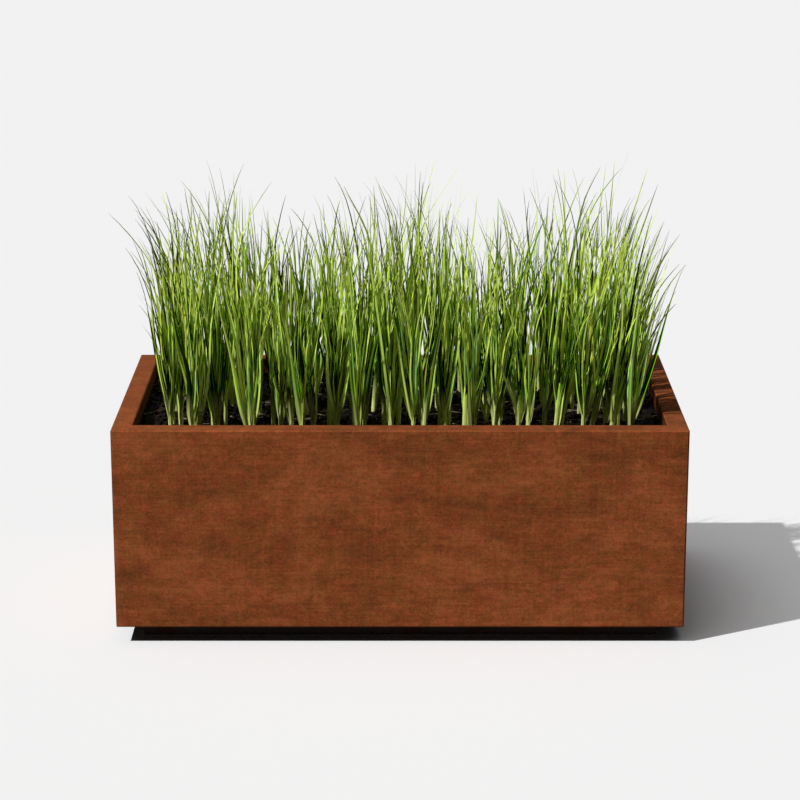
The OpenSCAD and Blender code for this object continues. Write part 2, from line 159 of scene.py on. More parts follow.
class ShaderTree:
    """The nodes of a material or a world, added one by one through a single method."""

    def __init__(self, owner: bpy.types.Material | bpy.types.World) -> None:
        """Start with no nodes.

        Args:
            owner: Material or world that holds them.
        """
        owner.use_nodes = True
        self.owner = owner
        self.nodes = owner.node_tree.nodes
        self.links = owner.node_tree.links
        self.nodes.clear()

    @classmethod
    def material(cls, name: str) -> ShaderTree:
        """Start the nodes of a new material."""
        return cls(bpy.data.materials.new(name))

    def add(
        self,
        kind: str,
        settings: dict[str, Any] | None = None,
        inputs: dict[int | str, Value] | None = None,
        output: int | str = 0,
    ) -> Wire:
        """Add a node, set it up and feed its sockets.

        Args:
            kind: Node type.
            settings: Properties set first; "stops" are a colour ramp's places and colours.
            inputs: Socket name or number to a number, a colour or a wire.
            output: Socket that is returned.

        Returns:
            The node's output as a wire.
        """
        node = self.nodes.new(kind)
        for key, value in (settings or {}).items():
            if key == "stops":
                self.set_stops(node.color_ramp, value)
            else:
                setattr(node, key, value)
        for key, value in (inputs or {}).items():
            if isinstance(value, Wire):
                self.links.new(value.socket, node.inputs[key])
            else:
                node.inputs[key].default_value = value
        return Wire(self, node.outputs[output] if len(node.outputs) else node.inputs[0])

    @staticmethod
    def set_stops(ramp: bpy.types.ColorRamp, stops: Sequence[tuple[float, Colour]]) -> None:
        """Set a colour ramp's stops.

        Args:
            ramp: The ramp, with its two stops.
            stops: Places from 0 to 1 with their colours.
        """
        while len(ramp.elements) < len(stops):
            ramp.elements.new(1.0)
        for element, (spot, colour) in zip(ramp.elements, stops):
            element.position = spot
            element.color = colour

    def place(self) -> Wire:
        """Point on the piece, in metres."""
        return self.add("ShaderNodeTexCoord", output="Object")

    def axes(self, point: Wire) -> tuple[Wire, Wire, Wire]:
        """Split a point into its three lengths.

        Args:
            point: The point.

        Returns:
            Wires of x, y and z.
        """
        split = self.add("ShaderNodeSeparateXYZ", None, {0: point}).socket.node.outputs
        return (Wire(self, split[0]), Wire(self, split[1]), Wire(self, split[2]))

    def noise(
        self, point: Wire, size: Triple, detail: float = 3.0, rough: float = 0.5, shift: float = 0.0
    ) -> Wire:
        """Cloudy noise with a feature size along each axis.

        Args:
            point: Where it is read.
            size: Feature size in metres along X, Y and Z.
            detail: Octaves.
            rough: Weight of the finer octaves.
            shift: Moves the pattern, so that two of one size differ.

        Returns:
            A value about one half.
        """
        settings = {"operation": "MULTIPLY_ADD"}
        per_metre = tuple(1.0 / part for part in size)
        scaled = self.add("ShaderNodeVectorMath", settings, {0: point, 1: per_metre, 2: even(shift)})
        inputs = {"Vector": scaled, "Scale": 1.0, "Detail": detail, "Roughness": rough}
        return self.add("ShaderNodeTexNoise", None, inputs, "Fac")

    def cells(self, point: Wire, size: float, output: str = "Distance") -> Wire:
        """Voronoi cells of a size, read as a distance or a colour."""
        return self.add("ShaderNodeTexVoronoi", None, {"Vector": point, "Scale": 1.0 / size}, output)

    def ramp(self, value: Wire, stops: Sequence[tuple[float, Colour]]) -> Wire:
        """Colour picked from a row of stops."""
        return self.add("ShaderNodeValToRGB", {"stops": stops}, {0: value}, "Color")

    def blend(self, share: Value, first: Value, second: Value) -> Wire:
        """Colour between two, by the share of the second."""
        return self.add("ShaderNodeMix", {"data_type": "RGBA"}, {0: share, 6: first, 7: second}, 2)

    def attribute(self, name: str) -> Wire:
        """Number stored on the piece's own points."""
        return self.add("ShaderNodeAttribute", {"attribute_name": name}, None, "Fac")

    def seen(self) -> Wire:
        """Tell rays that come from the camera, a reflection or through glass from the rest.

        Returns:
            One for such a ray, else nought.
        """
        rays = ("Is Camera Ray", "Is Glossy Ray", "Is Transmission Ray")
        camera, glossy, through = (self.add("ShaderNodeLightPath", output=ray) for ray in rays)
        return camera.most(glossy).most(through)

    def bump(self, height: Wire, strength: float, depth: float) -> Wire:
        """Normal that a height pattern tilts."""
        inputs = {"Height": height, "Strength": strength, "Distance": depth}
        return self.add("ShaderNodeBump", None, inputs, "Normal")

    def principled(self, inputs: dict[int | str, Value]) -> Wire:
        """One surface shader with the given sockets."""
        return self.add("ShaderNodeBsdfPrincipled", None, inputs, "BSDF")

    def close(self, surface: Wire) -> bpy.types.Material:
        """Send a surface to the material's output.

        Args:
            surface: The shader.

        Returns:
            The finished material.
        """
        self.add("ShaderNodeOutputMaterial", None, {"Surface": surface})
        return self.owner


@dataclass(frozen=True)
class RustFinish:
    """Settled rust on weathering steel: clouds, redder patches, faint runs both ways and flecks.

    Painted shade darkens the edges at the ends, the rim's top, the insides of the lips and a thin band at the
    panels' foot.
    """

    half_w: float
    half_d: float
    foot_z: float
    rim_z: float
    name: str = "settled_rust"
    brown: tuple[Colour, Colour, Colour] = (paint(107, 63, 31), paint(140, 82, 41), paint(173, 104, 57))
    red: tuple[Colour, Colour, Colour] = (paint(116, 57, 32), paint(154, 76, 43), paint(188, 97, 59))
    spots: Triple = (0.2, 0.5, 0.8)
    # Colour of the painted shade along the edges at the two ends.
    edge_shade: Colour = paint(40, 18, 9)
    # Colour of painted shade, laid inside the lips, on the rim's top and on a thin band at the panels' foot.
    under: Colour = paint(34, 20, 12)
    fleck: Colour = paint(190, 100, 54)
    tone_size: Triple = (0.22, 0.22, 0.13)
    hue_size: Triple = (0.06, 0.06, 0.045)
    tint_size: float = 0.009
    grain_size: float = 0.0036
    streak_size: Triple = (0.07, 0.07, 0.0035)
    run_size: Triple = (0.0045, 0.0045, 0.07)
    fleck_size: float = 0.008
    pit_size: float = 0.0055
    edge_reach: float = 0.003
    mid_tone: float = 0.52
    cloud_gain: float = 1.95
    streak_gain: float = 0.36
    run_gain: float = 0.22
    grain_gain: float = 0.68
    hue_gain: float = 3.4
    fleck_peaks: Span = (0.56, 0.7)
    fleck_clouds: Span = (0.48, 0.58)
    fleck_share: float = 0.75
    # Share of painted shade on the end edges.
    edge_shade_gain: float = 0.85
    rim_skin: Span = (0.0012, 0.0002)
    # Share of painted shade on the rim's top.
    rim_shade: float = 0.36
    foot_skin: Span = (0.0002, 0.0008)
    wall: Span = (0.004, 0.006)
    below_rim: Span = (0.0008, 0.003)
    # Share of painted shade inside the lips.
    lip_shade: float = 0.72
    pit_slope: Span = (0.0, 0.28)
    rough: float = 0.8
    relief: float = 0.0006

    def edge_shade_share(self, tree: ShaderTree, place: Wire) -> Wire:
        """Share of painted shade along the edges that bound the two ends of the box.

        Args:
            tree: The shader.
            place: Point on the piece.

        Returns:
            A value from 0 to 1.
        """
        x, y, z = tree.axes(place)
        to_end = self.half_w - abs(x)
        to_front = self.half_d - abs(y)
        to_rim = (self.rim_z - z).least(z - self.foot_z)
        return 1.0 - to_end.most(to_front.least(to_rim)).ease(0.0, self.edge_reach)

    def make(self) -> bpy.types.Material:
        """Build the material.

        Returns:
            The material.
        """
        tree = ShaderTree.material(self.name)
        place = tree.place()
        cloud = tree.noise(place, self.tone_size, 8.0, 0.95)
        redness = tree.noise(place, self.hue_size, 7.0, 0.95, 5.3)
        streak = tree.noise(place, self.streak_size, 2.0, 0.6)
        runs = tree.noise(place, self.run_size, 2.0, 0.6, 3.9)
        grain = tree.noise(place, even(self.grain_size), 2.0, 0.9, 7.1)
        tint = tree.noise(place, even(self.tint_size), 4.0, 0.95, 1.3)
        flecks = tree.noise(place, even(self.fleck_size), 3.0, 0.7, 2.7).ease(*self.fleck_peaks)
        pits = tree.cells(place, self.pit_size).ease(*self.pit_slope)
        clouded = self.mid_tone + cloud.swing(self.cloud_gain) + streak.swing(self.streak_gain)
        tone = clouded + runs.swing(self.run_gain) + grain.swing(self.grain_gain)
        brown = tree.ramp(tone, list(zip(self.spots, self.brown)))
        red = tree.ramp(tone, list(zip(self.spots, self.red)))
        rusty = tree.blend(0.5 + redness.swing(self.hue_gain) + tint.swing(self.hue_gain), brown, red)
        flecked = tree.blend(flecks * cloud.ease(*self.fleck_clouds) * self.fleck_share, rusty, self.fleck)
        # Painted shade: the edges at the two ends are blended toward a dark colour.
        edge_shaded = tree.blend(self.edge_shade_share(tree, place) * self.edge_shade_gain, flecked, self.edge_shade)
        x, y, up = tree.axes(place)
        # Painted shade: inside the lips, below the rim, the colour is blended toward the shade colour.
        inside = (self.half_w - abs(x)).least(self.half_d - abs(y)).ease(*self.wall)
        lip_shade = inside * (self.rim_z - up).ease(*self.below_rim)
        lip_shaded = tree.blend(lip_shade * self.lip_shade, edge_shaded, self.under)
        # Painted shade: the rim's top is blended toward the shade colour.
        on_rim = up.ease(self.rim_z - self.rim_skin[0], self.rim_z - self.rim_skin[1])
        rim_shaded = tree.blend(on_rim * self.rim_shade, lip_shaded, self.under)
        # Painted shade: a thin band at the panels' foot takes the shade colour.
        off_foot = up.ease(self.foot_z + self.foot_skin[0], self.foot_z + self.foot_skin[1])
        colour = tree.blend(off_foot, self.under, rim_shaded)
        rough = self.rough + cloud.swing(0.8)
        height = cloud * 2.0 + pits * 0.35
        surface = tree.principled({
            "Base Color": colour,
            "Roughness": rough,
            "Metallic": 0.0,
            "Specular IOR Level": 0.04,
            "Normal": tree.bump(height, 0.3, self.relief),
        })
        return tree.close(surface)


@dataclass(frozen=True)
class DarkSteelFinish:
    """Near-black steel with a breath of rust, on the plinth and the pieces inside the box; the near-black is
    partly the steel's own colour and partly painted shade of the recess under the box.
    """

    name: str = "dark_shaded_steel"
    # Near-black, partly the steel's own colour and partly painted shade.
    dark_base: Colour = paint(30, 19, 14)
    rusty: Colour = paint(70, 38, 24)
    patch_size: float = 0.05
    grain_size: float = 0.003
    grain_gain: float = 0.35
    rust_from: Span = (0.42, 0.75)
    rough: float = 0.55
    relief: float = 0.0006

    def make(self) -> bpy.types.Material:
        """Build the material.

        Returns:
            The material.
        """
        tree = ShaderTree.material(self.name)
        place = tree.place()
        patch = tree.noise(place, even(self.patch_size), 5.0, 0.6)
        grain = tree.noise(place, even(self.grain_size), 2.0)
        share = (patch + grain.swing(self.grain_gain)).ease(*self.rust_from)
        surface = tree.principled({
            "Base Color": tree.blend(share, self.dark_base, self.rusty),
            "Roughness": self.rough + share * 0.3,
            "Specular IOR Level": 0.15,
            "Normal": tree.bump(patch + grain * 0.4, 0.2, self.relief),
        })
        return tree.close(surface)


@dataclass(frozen=True)
class ZincFinish:
    """Zinc plating with faint spangle, on bolts, washers and nuts."""

    name: str = "zinc_plate"
    dull: Colour = paint(150, 150, 148)
    bright: Colour = paint(196, 197, 196)
    spangle_size: float = 0.0025
    scratch_size: float = 0.0006
    rough: float = 0.3
    relief: float = 0.0002

    def make(self) -> bpy.types.Material:
        """Build the material.

        Returns:
            The material.
        """
        tree = ShaderTree.material(self.name)
        place = tree.place()
        spangle = tree.cells(place, self.spangle_size, "Color")
        share = tree.add("ShaderNodeRGBToBW", None, {0: spangle})
        scratch = tree.noise(place, even(self.scratch_size), 2.0)
        surface = tree.principled({
            "Base Color": tree.blend(share, self.dull, self.bright),
            "Roughness": self.rough + share * 0.15 + scratch.swing(0.1),
            "Metallic": 1.0,
            "Normal": tree.bump(scratch, 0.08, self.relief),
        })
        return tree.close(surface)


@dataclass(frozen=True)
class RubberFinish:
    """Black moulded rubber with a fine stipple and a little chalking."""

    name: str = "black_rubber"
    black: Colour = paint(27, 27, 28)
    chalky: Colour = paint(58, 57, 55)
    chalk_size: float = 0.012
    stipple_size: float = 0.0008
    chalk_from: Span = (0.5, 0.8)
    chalk_share: float = 0.6
    rough: float = 0.62
    relief: float = 0.0002

    def make(self) -> bpy.types.Material:
        """Build the material.

        Returns:
            The material.
        """
        tree = ShaderTree.material(self.name)
        place = tree.place()
        chalk = tree.noise(place, even(self.chalk_size), 4.0, 0.6)
        stipple = tree.noise(place, even(self.stipple_size), 2.0)
        share = chalk.ease(*self.chalk_from) * self.chalk_share
        surface = tree.principled({
            "Base Color": tree.blend(share, self.black, self.chalky),
            "Roughness": self.rough + chalk.swing(0.3),
            "Normal": tree.bump(stipple, 0.15, self.relief),
        })
        return tree.close(surface)


@dataclass(frozen=True)
class GravelFinish:
    """Rounded drainage stones of mixed greys."""

    name: str = "drainage_stones"
    shade: Colour = paint(84, 76, 68)
    stone: Colour = paint(150, 140, 128)
    stone_size: float = 0.014
    grit_size: float = 0.0015
    gap: Span = (0.3, 0.7)
    rough: float = 0.75
    relief: float = 0.004

    def make(self) -> bpy.types.Material:
        """Build the material.

        Returns:
            The material.
        """
        tree = ShaderTree.material(self.name)
        place = tree.place()
        dome = tree.cells(place, self.stone_size)
        mixed = tree.add("ShaderNodeRGBToBW", None, {0: tree.cells(place, self.stone_size, "Color")})
        grit = tree.noise(place, even(self.grit_size), 2.0)
        share = (mixed * 0.8 + grit.swing(0.4)).ease(0.0, 0.9) * (1.0 - dome.ease(*self.gap))
        surface = tree.principled({
            "Base Color": tree.blend(share, self.shade, self.stone),
            "Roughness": self.rough + grit.swing(0.2),
            "Normal": tree.bump(1.0 - dome, 0.6, self.relief),
        })
        return tree.close(surface)


@dataclass(frozen=True)
class FleeceFinish:
    """Pale matted filter fleece."""

    name: str = "filter_fleece"
    pale: Colour = paint(206, 204, 198)
    grubby: Colour = paint(150, 142, 130)
    fibre_long: float = 0.012
    fibre_fine: float = 0.0006
    stain_size: float = 0.06
    stain_from: Span = (0.35, 0.8)
    rough: float = 0.9
    relief: float = 0.0006

    def make(self) -> bpy.types.Material:
        """Build the material.

        Returns:
            The material.
        """
        tree = ShaderTree.material(self.name)
        place = tree.place()
        along = tree.noise(place, (self.fibre_long, self.fibre_fine, self.fibre_fine), 2.0)
        across = tree.noise(place, (self.fibre_fine, self.fibre_long, self.fibre_fine), 2.0)
        stain = tree.noise(place, even(self.stain_size), 4.0, 0.6)
        fibre = along.most(across)
        share = stain.ease(*self.stain_from) + fibre.swing(-0.5)
        surface = tree.principled({
            "Base Color": tree.blend(share, self.pale, self.grubby),
            "Roughness": self.rough + fibre.swing(0.1),
            "Normal": tree.bump(fibre, 0.4, self.relief),
        })
        return tree.close(surface)


@dataclass(frozen=True)
class LooseFinish:
    """Loose natural stuff of two colours, such as soil, bark, straw or grit."""

    name: str
    dark: Colour
    pale: Colour
    crumb_size: float
    patch_size: float
    pale_from: float = 0.45
    pale_full: float = 0.8
    rough: float = 0.9
    stretch: float = 1.0
    depth: float = 0.001

    def make(self) -> bpy.types.Material:
        """Build the material.

        Returns:
            The material.
        """
        tree = ShaderTree.material(self.name)
        place = tree.place()
        crumb_size = (self.crumb_size * self.stretch, self.crumb_size, self.crumb_size)
        crumb = tree.noise(place, crumb_size, 4.0, 0.65)
        patch = tree.noise(place, even(self.patch_size), 3.0, 0.6)
        share = (crumb * 0.6 + patch * 0.4).ease(self.pale_from, self.pale_full)
        surface = tree.principled({
            "Base Color": tree.blend(share, self.dark, self.pale),
            "Roughness": self.rough + crumb.swing(0.12),
            "Specular IOR Level": 0.08,
            "Normal": tree.bump(crumb, 0.5, self.depth),
        })
        return tree.close(surface)


@dataclass(frozen=True)
class LeafFinish:
    """Grass blade: pale at the foot, green with fine veins above, some yellower, some with dry tips; painted
    streaks, darker margins and a darker lower length stand in for light and shade.
    """

    name: str = "grass_blade"
    foot: Colour = paint(238, 244, 152)
    greens: tuple[Colour, Colour, Colour] = (paint(4, 32, 0), paint(145, 220, 30), paint(229, 252, 124))
    tip: Colour = paint(230, 253, 108)
    yellow: Colour = paint(234, 246, 96)
    cool: Colour = paint(140, 200, 108)
    dry: Colour = paint(120, 110, 76)
    glow: Colour = paint(186, 222, 40)
    glow_share: float = 0.03
    foot_low: float = 0.004
    foot_high: float = 0.075
    veins: float = 3.0
    # Streaks across each blade: painted light and shade of its fold.
    light_streaks: float = 1.2
    stripe_shift: float = 7.0
    spots: Triple = (0.46, 0.6, 0.78)
    lift: float = 0.01
    tip_gain: float = 0.16
    stripe_gain: float = 0.3
    vein_gain: float = 0.05
    margin: Span = (0.28, 0.5)
    margin_dark: float = 0.25
    cool_age: Span = (0.05, 0.3)
    cool_tone: Span = (0.2, 0.6)
    cool_share: float = 0.6
    tip_along: Span = (0.4, 0.9)
    tip_tone: Span = (0.1, 0.6)
    tip_share: float = 0.85
    yellow_age: Span = (0.78, 1.0)
    yellow_share: float = 0.7
    dry_along: Span = (0.95, 1.2)
    dry_lead: float = 0.25
    dry_age: Span = (0.66, 0.86)
    rough: float = 0.36
    relief: float = 0.0002

    def make(self) -> bpy.types.Material:
        """Build the material.

        Returns:
            The material.
        """
        tree = ShaderTree.material(self.name)
        rise = tree.attribute("rise")
        along = tree.attribute("along")
        across = tree.attribute("across")
        tone = tree.attribute("tone")
        age = tree.attribute("age")
        veins = (across * self.veins).wave()
        # Painted light and shade: bright and dark streaks along each blade stand in for the lit and shaded
        # halves of its fold.
        light_streaks = (across * self.light_streaks + tone * self.stripe_shift).wave()
        # Painted shade: the blade's margins are darkened, partly a darker leaf margin and partly the shade
        # where blades overlap.
        margin = abs(across - 0.5).ease(*self.margin)
        # Painted shade: blades are darker low down and lighter toward the tip, standing for the shade deep in
        # the clump.
        striped = tone + self.lift + along * self.tip_gain + light_streaks * self.stripe_gain
        share = striped + veins * self.vein_gain - margin * self.margin_dark
        green = tree.ramp(share, list(zip(self.spots, self.greens)))
        young = (1.0 - age.ease(*self.cool_age)) * tone.ease(*self.cool_tone)
        cooled = tree.blend(young * self.cool_share, green, self.cool)
        bright_end = along.ease(*self.tip_along) * tone.ease(*self.tip_tone)
        tipped = tree.blend(bright_end * self.tip_share, cooled, self.tip)
        aged = tree.blend(age.ease(*self.yellow_age) * self.yellow_share, tipped, self.yellow)
        dry_end = (along + age * self.dry_lead).ease(*self.dry_along) * age.ease(*self.dry_age)
        dried = tree.blend(dry_end, aged, self.dry)
        foot_share = 1.0 - rise.ease(self.foot_low, self.foot_high)
        colour = tree.blend(foot_share, dried, self.foot)
        blade = tree.principled({
            "Base Color": colour,
            "Roughness": self.rough + veins * 0.05 + age * 0.12,
            "Specular IOR Level": 0.04,
            "Normal": tree.bump(veins, 0.2, self.relief),
        })
        through = tree.add("ShaderNodeBsdfTranslucent", None, {"Color": self.glow})
        surface = tree.add("ShaderNodeMixShader", None, {0: self.glow_share, 1: blade, 2: through})
        return tree.close(surface)


@dataclass(frozen=True)
class FloorFinish:
    """Plain pale floor: it throws back less light than it shows, and a painted glow makes its shadow paler
    out in the open.

    Lit, the two looks are alike; in shadow, the lifted one keeps some of its paleness through that painted
    light.
    """

    name: str = "pale_floor"
    pale: Colour = paint(237, 237, 237)
    lifted: Colour = paint(196, 196, 196)
    lift: float = 0.316
    dim: Colour = paint(150, 150, 150)
    nook: float = 0.3
    nook_dark: float = 0.35
    nook_open: float = 1.06

    def make(self) -> bpy.types.Material:
        """Build the material.

        Returns:
            The material.
        """
        tree = ShaderTree.material(self.name)
        close_by = tree.add("ShaderNodeBsdfDiffuse", None, {"Color": self.pale})
        shaded = tree.add("ShaderNodeBsdfDiffuse", None, {"Color": self.lifted})
        # Painted light: a glow, only where the floor is seen, that lifts its shadow.
        lift = tree.add("ShaderNodeEmission", None, {"Strength": self.lift})
        open_floor = tree.add("ShaderNodeAddShader", None, {0: shaded, 1: lift})
        openness = tree.add("ShaderNodeAmbientOcclusion", None, {"Distance": self.nook}, "AO")
        share = openness.ease(self.nook_dark, self.nook_open)
        seen = tree.add("ShaderNodeMixShader", None, {0: share, 1: close_by, 2: open_floor})
        bounced = tree.add("ShaderNodeBsdfDiffuse", None, {"Color": self.dim})
        return tree.close(tree.add("ShaderNodeMixShader", None, {0: tree.seen(), 1: bounced, 2: seen}))


class Bench:
    """Small modelling steps by hand: clear the bench, pick points, cut across, take a piece off."""

    @staticmethod
    def clear() -> None:
        """Leave edit mode and deselect everything."""
        if bpy.context.object is not None and bpy.context.object.mode != "OBJECT":
            bpy.ops.object.mode_set(mode="OBJECT")
        bpy.ops.object.select_all(action="DESELECT")

    @staticmethod
    def pick(piece: bpy.types.Object, test: Callable[[Vector], bool]) -> None:
        """Select the points of a piece in edit mode that pass a test.

        Args:
            piece: The piece being edited.
            test: Says whether a point is wanted.
        """
        bpy.ops.mesh.select_mode(type="VERT")
        mesh = bmesh.from_edit_mesh(piece.data)
        for point in mesh.verts:
            point.select = test(point.co)
        mesh.select_flush_mode()
        bmesh.update_edit_mesh(piece.data)

    @staticmethod
    def cut_levels(levels: Sequence[float]) -> None:
        """Cut the edited piece across Z.

        Args:
            levels: Heights of the cuts.
        """
        for level in levels:
            bpy.ops.mesh.select_all(action="SELECT")
            bpy.ops.mesh.bisect(plane_co=(0.0, 0.0, level), plane_no=(0.0, 0.0, 1.0))

    @staticmethod
    def take(piece: bpy.types.Object) -> Master:
        """Turn a modelled piece into a master that is copied, and remove it.

        Args:
            piece: The modelled piece.

        Returns:
            Its points and faces.
        """
        bpy.ops.object.mode_set(mode="OBJECT")
        points = np.array([tuple(v.co) for v in piece.data.vertices])
        faces = [tuple(face.vertices) for face in piece.data.polygons]
        mesh = piece.data
        bpy.data.objects.remove(piece)
        bpy.data.meshes.remove(mesh)
        return Master(points, faces)


@dataclass
class Master:
    """A small shape modelled once, whose copies are gathered into one mesh."""

    points: np.ndarray
    faces: list[tuple[int, ...]]


@dataclass
class Heap:
    """Copies of masters gathered into one mesh, with numbers on their points."""

    points: list[np.ndarray] = field(default_factory=list)
    faces: list[tuple[int, ...]] = field(default_factory=list)
    marks: dict[str, list[np.ndarray]] = field(default_factory=dict)
    count: int = 0

    def lay(self, points: np.ndarray, faces: Sequence[tuple[int, ...]], **marks: np.ndarray) -> None:
        """Add one copy.

        Args:
            points: Its points, in place.
            faces: Its faces, counted from its own first point.
            **marks: Numbers for each of its points, by attribute name.
        """
        self.faces.extend(tuple(i + self.count for i in face) for face in faces)
        self.points.append(points)
        for name, values in marks.items():
            self.marks.setdefault(name, []).append(values)
        self.count += len(points)

    def finish(
        self, name: str, material: bpy.types.Material, slot: str, smooth_deg: float
    ) -> bpy.types.Object:
        """Make the gathered copies one piece that rides on the box.

        Args:
            name: Name of the piece.
            material: Its material.
            slot: The record's material slot; not used.
            smooth_deg: Faces that meet at less than this are shaded smooth.

        Returns:
            The piece.
        """
        mesh = bpy.data.meshes.new(name)
        mesh.from_pydata(np.concatenate(self.points).tolist(), [], self.faces)
        for mark, values in self.marks.items():
            layer = mesh.attributes.new(mark, "FLOAT", "POINT")
            layer.data.foreach_set("value", np.concatenate(values).astype(np.float32))
        mesh.materials.append(material)
        piece = bpy.data.objects.new(name, mesh)
        bpy.context.scene.collection.objects.link(piece)
        Bench.clear()
        piece.select_set(True)
        bpy.context.view_layer.objects.active = piece
        bpy.ops.object.shade_smooth_by_angle(angle=math.radians(smooth_deg))
        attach(piece, BODY)
        LOG.info("%s: %d faces", name, len(mesh.polygons))
        return piece


@dataclass
class SteelBox:
    """The sheet steel, its fasteners and the drainage: pieces of the frame, each given its finish."""

    nodes: dict[str, bpy.types.Object]
    record: dict[str, Any]

    def rust(self) -> RustFinish:
        """Rust finish fitted to the outside of the four panels.

        Returns:
            The finish.
        """
        low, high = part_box("front_panel")
        half_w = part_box("right_panel")[1][0]
        return RustFinish(half_w=half_w, half_d=-low[1], foot_z=low[2], rim_z=high[2])

    def dress(self) -> None:
        """Give every node of the frame the finish of its slot."""
        finishes = {
            "weathering_steel": self.rust(),
            "dark_steel": DarkSteelFinish(),
            "zinc_steel": ZincFinish(),
            "black_rubber": RubberFinish(),
            "gravel": GravelFinish(),
            "fleece": FleeceFinish(),
        }
        materials = {slot: finish.make() for slot, finish in finishes.items()}
        for part in self.record["subparts"]:
            material = materials.get(part["material_slot"])
            if material is None:
                continue
            piece = self.nodes[part["node"]]
            if not piece.material_slots:
                piece.data.materials.append(material)
            for holder in piece.material_slots:
                holder.material = material
            LOG.info("%s: %s", part["node"], material.name)


@dataclass
class SoilBed:
    """The soil: a block with a crumbly top that fills the box under the lip."""

    step: float = 0.004
    swell: float = 0.012
    swell_size: float = 0.11
    lump: float = 0.009
    lump_size: float = 0.022
    crumb: float = 0.006
    crumb_size: float = 0.008
    octaves: int = 2
    mid_level: float = 0.55
    corner_cut: float = 0.0055
    smooth_deg: float = 50.0
    finish: LooseFinish = LooseFinish(
        "black_soil", paint(16, 12, 10), paint(44, 33, 27), crumb_size=0.004, patch_size=0.03, depth=0.002
    )

    def build(self) -> bpy.types.Object:
        """Model the block and stand it in for the plain one.

        Returns:
            The soil piece.
        """
        low, high = (Vector(corner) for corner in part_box("soil_fill"))
        size = high - low
        Bench.clear()
        bpy.ops.mesh.primitive_grid_add(
            x_subdivisions=round(size.x / self.step),
            y_subdivisions=round(size.y / self.step),
            size=2.0,
            location=(0.0, 0.0, 0.0),
        )
        piece = bpy.context.object
        piece.name = piece.data.name = "soil_bed"
        bpy.ops.object.mode_set(mode="EDIT")
        bpy.ops.transform.resize(value=(size.x / 2, size.y / 2, 1.0))
        bpy.ops.transform.translate(value=(0.0, 0.0, high.z))
        self.cut_corners(size)
        bpy.ops.mesh.select_all(action="SELECT")
        bpy.ops.mesh.extrude_region_move(TRANSFORM_OT_translate={"value": (0.0, 0.0, -size.z)})
        bpy.ops.mesh.select_all(action="SELECT")
        bpy.ops.mesh.normals_make_consistent(inside=False)
        bpy.ops.object.mode_set(mode="OBJECT")
        self.roughen(piece, high.z)
        piece.data.materials.append(self.finish.make())
        bpy.ops.object.shade_smooth_by_angle(angle=math.radians(self.smooth_deg))
        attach(piece, BODY)
        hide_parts("soil_fill")
        LOG.info("soil_bed: %d faces", len(piece.data.polygons))
        return piece

    def cut_corners(self, size: Vector) -> None:
        """Cut the sheet's corners off where the welds stand.

        Args:
            size: Size of the soil block.
        """
        for side_x in (-1, 1):
            for side_y in (-1, 1):
                bpy.ops.mesh.select_all(action="SELECT")
                bpy.ops.mesh.bisect(
                    plane_co=(side_x * (size.x / 2 - self.corner_cut), side_y * size.y / 2, 0.0),
                    plane_no=(side_x, side_y, 0.0),
                    clear_outer=True,
                )

    def roughen(self, piece: bpy.types.Object, top: float) -> None:
        """Raise swells, lumps and crumbs on the top of the block.

        Args:
            piece: The block.
            top: Height of its flat top.
        """
        group = piece.vertex_groups.new(name="top")
        group.add([v.index for v in piece.data.vertices if v.co.z > top - self.step], 1.0, "REPLACE")
        layers = ((self.swell, self.swell_size), (self.lump, self.lump_size), (self.crumb, self.crumb_size))
        for rise, grain in layers:
            cloud = bpy.data.textures.new("soil_cloud", "CLOUDS")
            cloud.noise_scale = grain
            cloud.noise_depth = self.octaves
            layer = piece.modifiers.new("soil_layer", "DISPLACE")
            layer.texture = cloud
            layer.texture_coords = "LOCAL"
            layer.direction = "Z"
            layer.vertex_group = "top"
            layer.strength = rise
            layer.mid_level = self.mid_level
            bpy.ops.object.modifier_apply(modifier=layer.name)
        piece.vertex_groups.clear()


class Litter(Enum):
    """What lies on the soil."""

    CLODS = "soil_clods"
    BARK = "bark_chips"
    STRAW = "straw_bits"
    GRIT = "pale_grit"


@dataclass(frozen=True)
class Strewing:
    """How one kind of litter lies: its count, its least and largest size, its finish, slope and clumps."""

    kind: Litter
    count: int
    least: Triple
    most: Triple
    finish: LooseFinish
    slope_deg: float = 180.0
    clump: int = 1


